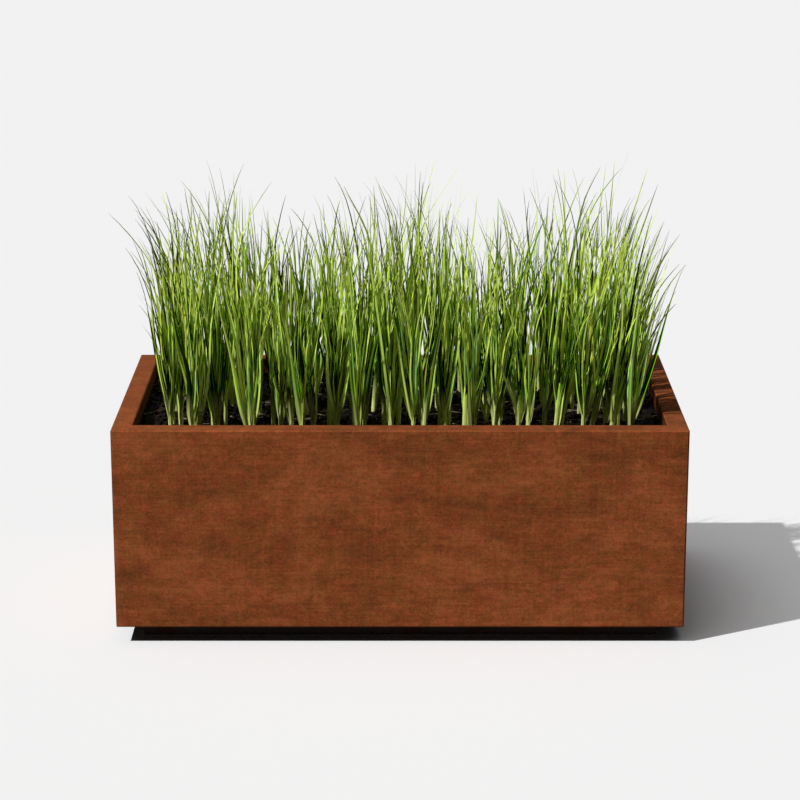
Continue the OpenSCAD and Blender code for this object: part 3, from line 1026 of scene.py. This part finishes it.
@dataclass
class LitterLayer:
    """Small loose bits strewn over the soil, each kind modelled once and copied."""

    soil: bpy.types.Object
    feet: np.ndarray
    margin: float = 0.034
    foot_room: float = 0.007
    clump_spread: float = 0.012
    drop_from: float = 0.1
    sunk: Span = (0.1, 0.4)
    stalk_cuts: Triple = (-0.25, 0.0, 0.25)
    stalk_jolt: float = 0.12
    chip_jolt: float = 0.16
    crumb_jolt: float = 0.2
    evenness: float = 0.6
    smooth_deg: float = 25.0
    seed: int = 41
    straw_seed: int = 7
    straw_yaw: float = 0.55
    straw_lift: float = 0.0025
    straw_smooth_deg: float = 40.0
    loose: tuple[Strewing, ...] = (
        Strewing(
            Litter.CLODS, 1700, (0.004, 0.004, 0.003), (0.011, 0.010, 0.008),
            LooseFinish("soil_clod", paint(18, 14, 11), paint(56, 42, 34), 0.003, 0.02),
        ),
        Strewing(
            Litter.BARK, 200, (0.008, 0.004, 0.0015), (0.024, 0.011, 0.004),
            LooseFinish("bark", paint(30, 21, 16), paint(86, 62, 48), 0.0035, 0.02, stretch=3.0),
            slope_deg=25.0,
        ),
        Strewing(
            Litter.GRIT, 420, (0.002, 0.002, 0.0015), (0.0042, 0.004, 0.003),
            LooseFinish("pale_grit", paint(140, 112, 98), paint(214, 190, 176), 0.002, 0.01, pale_from=0.3),
            clump=30,
        ),
    )
    straw: Strewing = Strewing(
        Litter.STRAW, 170, (0.001, 0.001, 0.02), (0.0026, 0.002, 0.075),
        LooseFinish("dry_straw", paint(88, 74, 60), paint(176, 160, 138), 0.004, 0.03, pale_from=0.3),
        slope_deg=7.0,
    )

    def model(self, kind: Litter) -> Master:
        """Model one bit by hand, one unit across.

        Args:
            kind: What to model.

        Returns:
            The master.
        """
        Bench.clear()
        if kind is Litter.STRAW:
            bpy.ops.mesh.primitive_cylinder_add(vertices=5, radius=0.5, depth=1.0, end_fill_type="TRIFAN")
        elif kind is Litter.BARK:
            bpy.ops.mesh.primitive_cube_add(size=1.0)
        else:
            bpy.ops.mesh.primitive_ico_sphere_add(subdivisions=1, radius=0.5)
        piece = bpy.context.object
        bpy.ops.object.mode_set(mode="EDIT")
        if kind is Litter.STRAW:
            Bench.cut_levels(self.stalk_cuts)
        if kind is Litter.BARK:
            bpy.ops.mesh.subdivide(number_cuts=1)
        bpy.ops.mesh.select_all(action="SELECT")
        jolt = {Litter.STRAW: self.stalk_jolt, Litter.BARK: self.chip_jolt}.get(kind, self.crumb_jolt)
        bpy.ops.transform.vertex_random(offset=jolt, uniform=self.evenness, normal=0.0, seed=self.seed)
        return Bench.take(piece)

    def spots(self, count: int, draw: np.random.Generator, clump: int) -> list[Vector]:
        """Places on the soil, clear of the grass feet.

        Args:
            count: How many are wanted.
            draw: Source of chance.
            clump: How many lie close together.

        Returns:
            Points on the soil's surface.
        """
        high = np.array(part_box("soil_fill")[1])
        reach = high[:2] - self.margin
        middle = draw.uniform(-reach, reach)
        found: list[Vector] = []
        while len(found) < count:
            if len(found) % clump == 0:
                middle = draw.uniform(-reach, reach)
            x, y = np.clip(middle + draw.normal(0.0, self.clump_spread, 2), -reach, reach)
            if np.min(np.hypot(self.feet[:, 0] - x, self.feet[:, 1] - y)) < self.foot_room:
                continue
            above = Vector((x, y, high[2] + self.drop_from))
            hit, spot, _, _ = self.soil.ray_cast(above, Vector((0.0, 0.0, -1.0)))
            if hit:
                found.append(spot)
        return found

    @staticmethod
    def turned(yaw: float, tilt: float, roll: float) -> np.ndarray:
        """Turning matrix of a yaw about Z after a tilt about Y after a roll about X.

        Args:
            yaw: Turn about Z.
            tilt: Turn about Y.
            roll: Turn about X.

        Returns:
            A 3 by 3 matrix.
        """
        cz, sz = math.cos(yaw), math.sin(yaw)
        cy, sy = math.cos(tilt), math.sin(tilt)
        cx, sx = math.cos(roll), math.sin(roll)
        about_z = np.array([[cz, -sz, 0], [sz, cz, 0], [0, 0, 1]])
        about_y = np.array([[cy, 0, sy], [0, 1, 0], [-sy, 0, cy]])
        about_x = np.array([[1, 0, 0], [0, cx, -sx], [0, sx, cx]])
        return about_z @ about_y @ about_x

    def strew(self, bits: Strewing) -> None:
        """Strew copies of one kind over the soil.

        Args:
            bits: What to strew, and how.
        """
        draw = np.random.default_rng([self.seed, list(Litter).index(bits.kind)])
        master = self.model(bits.kind)
        heap = Heap()
        for spot in self.spots(bits.count, draw, bits.clump):
            size = draw.uniform(bits.least, bits.most)
            tilt, roll = np.radians(draw.uniform(-bits.slope_deg, bits.slope_deg, 2))
            turn = self.turned(draw.uniform(0.0, math.tau), tilt, roll)
            points = (master.points * size) @ turn.T
            lift = -points[:, 2].min() - size.min() * draw.uniform(*self.sunk)
            heap.lay(points + np.array(spot) + np.array([0.0, 0.0, lift]), master.faces)
        heap.finish(bits.kind.value, bits.finish.make(), "soil", self.smooth_deg)

    def lay_straw(self, bits: Strewing) -> None:
        """Lay dry stalks level on the soil, most of them lying along the box.

        Args:
            bits: The stalks, and how they lie.
        """
        draw = np.random.default_rng([self.seed, self.straw_seed])
        master = self.model(bits.kind)
        heap = Heap()
        for spot in self.spots(bits.count, draw, bits.clump):
            size = draw.uniform(bits.least, bits.most)
            yaw = draw.normal(0.0, self.straw_yaw)
            slope = math.radians(draw.uniform(-bits.slope_deg, bits.slope_deg))
            turn = self.turned(yaw, math.pi / 2 + slope, 0.0)
            points = (master.points * size) @ turn.T
            heap.lay(points + np.array(spot) + np.array([0.0, 0.0, self.straw_lift]), master.faces)
        heap.finish(bits.kind.value, bits.finish.make(), "soil", self.straw_smooth_deg)

    def build(self) -> None:
        """Strew every kind of litter."""
        for bits in self.loose:
            self.strew(bits)
        self.lay_straw(self.straw)


class BladeKind(Enum):
    """Kinds of leaf on a tiller: widest, then fine, then short ones low down."""

    BROAD = "broad"
    FINE = "fine"
    LOW = "low"


@dataclass(frozen=True)
class BladeHabit:
    """How one kind of blade grows: its count on main and side stems, and the range of each trait."""

    count: tuple[int, int]
    side_count: tuple[int, int]
    start: Span
    reach: Span
    width: Span
    lean: Span
    arch: Span
    power: Span
    skew: float
    fan: float
    face: float
    face_spread: float
    slim: float


@dataclass(frozen=True)
class Stem:
    """One stem of grass: where it stands, which way it fans, its tilt and tone, and if it is a main one."""

    foot: np.ndarray
    fan: float
    tilt: np.ndarray
    tone: float
    main: bool


@dataclass(frozen=True)
class BladeRing:
    """One ring of the blade: its place along, and its width, fold and thickness as shares of the width."""

    level: float
    width: float
    fold: float
    thick: float


@dataclass
class GrassBed:
    """Eighteen grass plants of three tillers, standing on the frame's own tillers."""

    nodes: dict[str, bpy.types.Object]
    rows: tuple[str, ...] = ("front", "middle", "back")
    columns: int = 6
    seed: int = 7
    mound_pitch: float = 0.3
    mound_top: float = 0.405
    mound_drop: float = 0.08
    end_drop: float = 0.03
    fan_x: float = 0.17
    drift_y: float = -0.14
    fan_limit: Span = (0.445, 0.252)
    half_bed: float = 0.366
    foot_level: float = 0.001
    tiller_gap: float = 0.007
    foot_ring: float = 0.0022
    foot_share: Span = (0.2, 1.0)
    stem_gap: tuple[float, ...] = (0.0, 0.036, 0.056)
    end_gap: float = 0.075
    end_from: float = 0.3
    gap_share: Span = (0.4, 1.0)
    huddle: float = 0.5
    row_shift: Triple = (0.006, 0.0, 0.0)
    stem_fan: float = 0.5
    twist: float = 1.1
    sway: float = 0.085
    sway_waves: Span = (0.6, 1.7)
    tilt: float = 0.035
    upright_share: float = 0.35
    arch_share: Span = (0.5, 1.2)
    arch_stray: float = 0.05
    straighten: float = 1.1
    tone_mix: Span = (0.85, 0.15)
    smooth_deg: float = 20.0
    rings: tuple[BladeRing, ...] = (
        BladeRing(0.0, 0.5, 0.8, 0.3),
        BladeRing(0.05, 0.72, 0.76, 0.2),
        BladeRing(0.12, 0.94, 0.7, 0.12),
        BladeRing(0.2, 1.0, 0.62, 0.09),
        BladeRing(0.3, 0.92, 0.52, 0.08),
        BladeRing(0.41, 0.8, 0.42, 0.08),
        BladeRing(0.52, 0.68, 0.34, 0.09),
        BladeRing(0.63, 0.57, 0.28, 0.1),
        BladeRing(0.74, 0.48, 0.24, 0.11),
        BladeRing(0.84, 0.39, 0.2, 0.12),
        BladeRing(0.93, 0.27, 0.2, 0.14),
        BladeRing(1.0, 0.08, 0.2, 0.2),
    )
    sheath_h: float = 0.07
    sheath_r: float = 0.0034
    sheath_rings: tuple[Span, ...] = ((0.12, 1.16), (0.35, 1.06), (0.6, 0.92), (0.82, 0.8), (1.0, 0.45))
    sheath_flat: float = 0.8
    sheath_tall: Span = (0.75, 1.25)
    sheath_stout: Span = (0.85, 1.15)
    sheath_age: Span = (0.0, 0.7)
    finish: LeafFinish = LeafFinish()
    habits: dict[BladeKind, BladeHabit] = field(default_factory=lambda: {
        BladeKind.BROAD: BladeHabit(
            count=(4, 6), side_count=(1, 2), start=(0.0, 0.03), reach=(0.5, 0.92), width=(0.007, 0.0105),
            lean=(0.08, 0.24), arch=(0.02, 0.3), power=(1.6, 3.2), skew=1.0,
            fan=0.4, face=1.57, face_spread=0.9, slim=0.45,
        ),
        BladeKind.FINE: BladeHabit(
            count=(8, 9), side_count=(5, 7), start=(0.03, 0.11), reach=(0.52, 1.0), width=(0.003, 0.0048),
            lean=(0.0, 0.2), arch=(0.1, 0.85), power=(1.6, 4.2), skew=1.1,
            fan=1.5, face=0.8, face_spread=1.2, slim=0.0,
        ),
        BladeKind.LOW: BladeHabit(
            count=(1, 2), side_count=(0, 1), start=(0.0, 0.02), reach=(0.25, 0.5), width=(0.0056, 0.0088),
            lean=(0.05, 0.18), arch=(0.03, 0.22), power=(1.4, 2.4), skew=1.0,
            fan=0.7, face=1.57, face_spread=0.5, slim=0.3,
        ),
    })

    def feet(self, node: str) -> np.ndarray:
        """Read where a plant's tillers stand, off the points of its node at soil height.

        Args:
            node: The plant's node.

        Returns:
            One row of x, y and z for each tiller, from left to right.
        """
        mesh = self.nodes[node].data
        points = np.empty(len(mesh.vertices) * 3)
        mesh.vertices.foreach_get("co", points)
        points = points.reshape(-1, 3)
        ground = points[:, 2].min()
        ring = points[points[:, 2] < ground + self.foot_level]
        ring = ring[np.argsort(ring[:, 0])]
        breaks = np.where(np.diff(ring[:, 0]) > self.tiller_gap)[0] + 1
        return np.array([[*(g[:, :2].min(0) + g[:, :2].max(0)) / 2, ground] for g in np.split(ring, breaks)])

    def stems(self, feet: np.ndarray, row: int, draw: np.random.Generator) -> list[Stem]:
        """Give each tiller's foot its main stem, and side stems round it within the bed.

        Args:
            feet: Feet of the frame's tillers.
            row: Number of the row, counted from the front.
            draw: Source of chance.

        Returns:
            All stems of the plant.
        """
        stems: list[Stem] = []
        inward = 1 - row
        shift = np.array([0.0, self.row_shift[row], 0.0])
        for foot in feet:
            more = (self.end_gap,) * (abs(foot[0]) > self.end_from)
            for number, farthest in enumerate((*self.stem_gap, *more)):
                way = draw.uniform(0.0, math.tau)
                gap = farthest * draw.uniform(*self.gap_share)
                out = np.array([math.cos(way) * self.huddle, math.sin(way), 0.0])
                out[1] = abs(out[1]) * inward if inward else out[1]
                spot = foot + gap * out - shift
                spot[0] = np.clip(spot[0], -self.half_bed, self.half_bed)
                outward = bool(number) * self.tilt * np.array([math.cos(way), 0.0])
                tilt = draw.normal(0.0, self.tilt, 2) + outward
                stems.append(Stem(spot, draw.normal(0.0, self.stem_fan), tilt, draw.uniform(), number == 0))
        return stems

    def model_blade(self) -> Master:
        """Model one straight blade a unit long and a unit wide: folded along its keel and drawn to a tip.

        Returns:
            The master, whose X runs across, Y into the fold and Z along.
        """
        Bench.clear()
        bpy.ops.mesh.primitive_cylinder_add(vertices=4, radius=1.0, depth=1.0, location=(0.0, 0.0, 0.5))
        piece = bpy.context.object
        bpy.ops.object.transform_apply(location=True)
        bpy.ops.object.mode_set(mode="EDIT")
        Bench.cut_levels([ring.level for ring in self.rings[1:-1]])
        for ring in self.rings:
            half = ring.width / 2
            Bench.pick(piece, lambda p, z=ring.level: abs(p.z - z) < NEAR)
            bpy.ops.transform.resize(
                value=(half, ring.thick * half, 1.0), center_override=(0.0, 0.0, ring.level)
            )
            Bench.pick(piece, lambda p, z=ring.level: abs(p.z - z) < NEAR and abs(p.x) < NEAR)
            bpy.ops.transform.translate(value=(0.0, -ring.fold * half, 0.0))
        return Bench.take(piece)

    def model_sheath(self) -> Master:
        """Model the closed sheath at a tiller's foot: a flattened tube that swells and narrows.

        Returns:
            The master, a unit in radius and a unit tall.
        """
        Bench.clear()
        bpy.ops.mesh.primitive_cylinder_add(vertices=8, radius=1.0, depth=1.0, location=(0.0, 0.0, 0.5))
        piece = bpy.context.object
        bpy.ops.object.transform_apply(location=True)
        bpy.ops.object.mode_set(mode="EDIT")
        Bench.cut_levels([level for level, _ in self.sheath_rings[:-1]])
        for level, girth in self.sheath_rings:
            Bench.pick(piece, lambda p, z=level: abs(p.z - z) < NEAR)
            bpy.ops.transform.resize(
                value=(girth, girth * self.sheath_flat, 1.0), center_override=(0.0, 0.0, level)
            )
        return Bench.take(piece)

    def spread_at(self, foot: np.ndarray) -> np.ndarray:
        """Slope with which the grass leans out, most at the ends of the bed, and a little to the front."""
        share = foot[0] / self.half_bed
        return np.array([share * abs(share) * self.fan_x, self.drift_y])

    def height_at(self, x: float) -> float:
        """Height of the grass above the soil at a place along the box.

        Args:
            x: The place.

        Returns:
            The height, in mounds that sink toward the ends.
        """
        wave = (1.0 - math.cos(math.tau * x / self.mound_pitch)) / 2
        past = max(0.0, abs(x) - self.mound_pitch) / (self.half_bed - self.mound_pitch)
        return self.mound_top - self.mound_drop * wave - self.end_drop * past

    def grow(
        self, heap: Heap, blade: Master, stem: Stem, habit: BladeHabit, turn: int, draw: np.random.Generator
    ) -> None:
        """Bend one copy of the blade along its own line and lay it on the heap.

        Args:
            heap: The plant's mesh so far.
            blade: The straight blade.
            stem: The stem that carries it.
            habit: How this kind of blade grows.
            turn: Number of the blade on its stem, which alternates the side.
            draw: Source of chance.
        """
        foot = stem.foot
        way = stem.fan + math.pi * (turn % 2) + draw.normal(0.0, habit.fan)
        out = np.array([math.cos(way), math.sin(way)])
        spread = self.spread_at(foot)
        upright = spread * self.upright_share + stem.tilt
        lean = out * draw.uniform(*habit.lean)
        start = draw.uniform(*habit.start)
        arch = out * draw.uniform(*habit.arch) + spread * draw.uniform(*self.arch_share)
        arch += draw.normal(0.0, self.arch_stray, 2)
        power = draw.uniform(*habit.power)
        width = draw.uniform(*habit.width)
        share = draw.uniform() ** habit.skew
        reach = self.height_at(foot[0]) * (habit.reach[0] + (habit.reach[1] - habit.reach[0]) * share)
        levels = np.unique(np.round(blade.points[:, 2], 6))
        wave = np.sin(math.tau * (levels * draw.uniform(*self.sway_waves) + draw.uniform()))[:, None]
        up = levels[:, None]
        slopes = upright + lean * (1.0 - up) ** self.straighten + arch * up**power
        slopes += draw.normal(0.0, self.sway, 2) * wave
        run = np.column_stack([slopes, np.ones(len(levels))])
        run /= np.linalg.norm(run, axis=1)[:, None]
        steps = np.diff(levels)[:, None] * (run[1:] + run[:-1]) / 2
        line = np.vstack([np.zeros(3), np.cumsum(steps, axis=0)])
        line *= (reach - start) / line[-1, 2]
        room = np.array(self.fan_limit) - np.abs(foot[:2])
        line[:, :2] *= np.minimum(1.0, room / np.maximum(np.abs(line[:, :2]).max(0), room))
        off_foot = out * self.foot_ring * draw.uniform(*self.foot_share)
        line += foot + np.array([*upright * start + off_foot, start])
        inward = np.column_stack([np.tile(-out, (len(levels), 1)), np.zeros(len(levels))])
        inward -= run * np.sum(inward * run, axis=1)[:, None]
        inward /= np.linalg.norm(inward, axis=1)[:, None]
        across = np.cross(run, inward)
        angle = draw.normal(habit.face, habit.face_spread) + draw.normal(0.0, self.twist) * levels[:, None]
        face = inward * np.cos(angle) + across * np.sin(angle)
        side = across * np.cos(angle) - inward * np.sin(angle)
        at = np.searchsorted(levels, np.round(blade.points[:, 2], 6))
        widths = width * (1.0 - habit.slim * blade.points[:, 2:])
        points = line[at] + side[at] * blade.points[:, :1] * widths + face[at] * blade.points[:, 1:2] * widths
        heap.lay(
            points,
            blade.faces,
            rise=points[:, 2] - foot[2],
            along=blade.points[:, 2],
            across=blade.points[:, 0] + 0.5,
            tone=np.full(len(points), self.tone_mix[0] * draw.uniform() + self.tone_mix[1] * stem.tone),
            age=np.full(len(points), draw.uniform()),
        )

    def wrap(self, heap: Heap, sheath: Master, stem: Stem, draw: np.random.Generator) -> None:
        """Stand a sheath round the foot of a stem, widest along its fan.

        Args:
            heap: The plant's mesh so far.
            sheath: The master sheath.
            stem: The stem.
            draw: Source of chance.
        """
        tall = self.sheath_h * draw.uniform(*self.sheath_tall)
        stout = self.sheath_r * draw.uniform(*self.sheath_stout)
        cos, sin = math.cos(stem.fan), math.sin(stem.fan)
        flat = (sheath.points[:, :2] * stout) @ np.array([[cos, sin], [-sin, cos]])
        upright = self.spread_at(stem.foot) * self.upright_share + stem.tilt
        flat += sheath.points[:, 2:] * tall * upright
        points = np.column_stack([flat, sheath.points[:, 2] * tall]) + stem.foot
        heap.lay(
            points,
            sheath.faces,
            rise=points[:, 2] - stem.foot[2],
            along=np.zeros(len(points)),
            across=np.full(len(points), 0.5),
            tone=np.full(len(points), stem.tone),
            age=np.full(len(points), draw.uniform(*self.sheath_age)),
        )

    def build(self) -> np.ndarray:
        """Grow every plant.

        Returns:
            The feet of all tillers.
        """
        blade = self.model_blade()
        sheath = self.model_sheath()
        material = self.finish.make()
        all_feet: list[np.ndarray] = []
        for row, row_name in enumerate(self.rows):
            for column in range(1, self.columns + 1):
                node = f"grass_{row_name}_{column}"
                draw = np.random.default_rng([self.seed, row, column])
                heap = Heap()
                feet = self.feet(node)
                all_feet.append(feet)
                for stem in self.stems(feet, row, draw):
                    self.wrap(heap, sheath, stem, draw)
                    for habit in self.habits.values():
                        least, most = habit.count if stem.main else habit.side_count
                        for turn in range(draw.integers(least, most + 1)):
                            self.grow(heap, blade, stem, habit, turn, draw)
                piece = heap.finish(f"grass_clump_{row_name}_{column}", material, "grass", self.smooth_deg)
                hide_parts(node)
        return np.vstack(all_feet)


@dataclass
class Studio:
    """Pale floor, a sun, a wide soft light overhead, and the camera."""

    floor_size: float = 60.0
    sun_from: Triple = (-0.555, -0.302, 0.775)
    sun_strength: float = 3.8
    sun_angle_deg: float = 1.0
    soft_from: Triple = (-0.198, 0.166, 0.966)
    soft_strength: float = 0.24
    soft_angle_deg: float = 55.0
    sky_strength: float = 0.02
    white: Colour = (1.0, 1.0, 1.0, 1.0)
    backdrop: float = 0.888
    camera_at: Triple = (0.0, -3.93, 1.409)
    pitch_deg: float = 15.28
    lens_mm: float = 111.35
    sensor_mm: float = 36.0
    clip_end: float = 200.0

    def build(self) -> None:
        """Set the stage, the light and the camera."""
        self.lay_floor()
        self.hang_lamp("sun", self.sun_from, self.sun_strength, self.sun_angle_deg)
        self.hang_lamp("overhead", self.soft_from, self.soft_strength, self.soft_angle_deg)
        self.light_sky()
        self.place_camera()
        bpy.context.scene.view_settings.view_transform = "Standard"

    def lay_floor(self) -> None:
        """Lay the floor under the plinth."""
        Bench.clear()
        bpy.ops.mesh.primitive_plane_add(size=self.floor_size)
        floor = bpy.context.object
        floor.name = "floor"
        floor.data.materials.append(FloorFinish().make())

    @staticmethod
    def hang_lamp(name: str, light_from: Triple, strength: float, angle_deg: float) -> None:
        """Hang one far lamp.

        Args:
            name: Name of the lamp.
            light_from: Direction in which it hangs.
            strength: Its strength.
            angle_deg: How wide it looks from the object, in degrees.
        """
        data = bpy.data.lights.new(name, "SUN")
        data.energy = strength
        data.angle = math.radians(angle_deg)
        lamp = bpy.data.objects.new(name, data)
        lamp.rotation_euler = Vector(light_from).to_track_quat("Z", "Y").to_euler()
        bpy.context.scene.collection.objects.link(lamp)

    def light_sky(self) -> None:
        """Light evenly from all round, with the floor's own colour behind the object."""
        world = bpy.data.worlds.new("sky")
        bpy.context.scene.world = world
        tree = ShaderTree(world)
        light = tree.add("ShaderNodeBackground", None, {"Color": self.white, "Strength": self.sky_strength})
        backdrop = tree.add("ShaderNodeBackground", None, {"Color": self.white, "Strength": self.backdrop})
        mixed = tree.add("ShaderNodeMixShader", None, {0: tree.seen(), 1: light, 2: backdrop})
        tree.add("ShaderNodeOutputWorld", None, {"Surface": mixed})

    def place_camera(self) -> None:
        """Place the camera at the height and distance that the box's edges show."""
        data = bpy.data.cameras.new("camera")
        data.sensor_width = self.sensor_mm
        data.lens = self.lens_mm
        data.clip_end = self.clip_end
        camera = bpy.data.objects.new("camera", data)
        camera.location = self.camera_at
        camera.rotation_euler = (math.radians(90.0 - self.pitch_deg), 0.0, 0.0)
        bpy.context.scene.collection.objects.link(camera)
        bpy.context.scene.camera = camera


def main() -> None:
    """Load the frame, dress it, model what is soft or loose, and set the stage."""
    logging.basicConfig(level=logging.INFO, format="%(name)s: %(message)s")
    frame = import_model()
    SteelBox(frame["nodes"], frame["record"]).dress()
    soil = SoilBed().build()
    feet = GrassBed(frame["nodes"]).build()
    LitterLayer(soil, feet).build()
    Studio().build()
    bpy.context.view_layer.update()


if __name__ == "__main__":
    main()
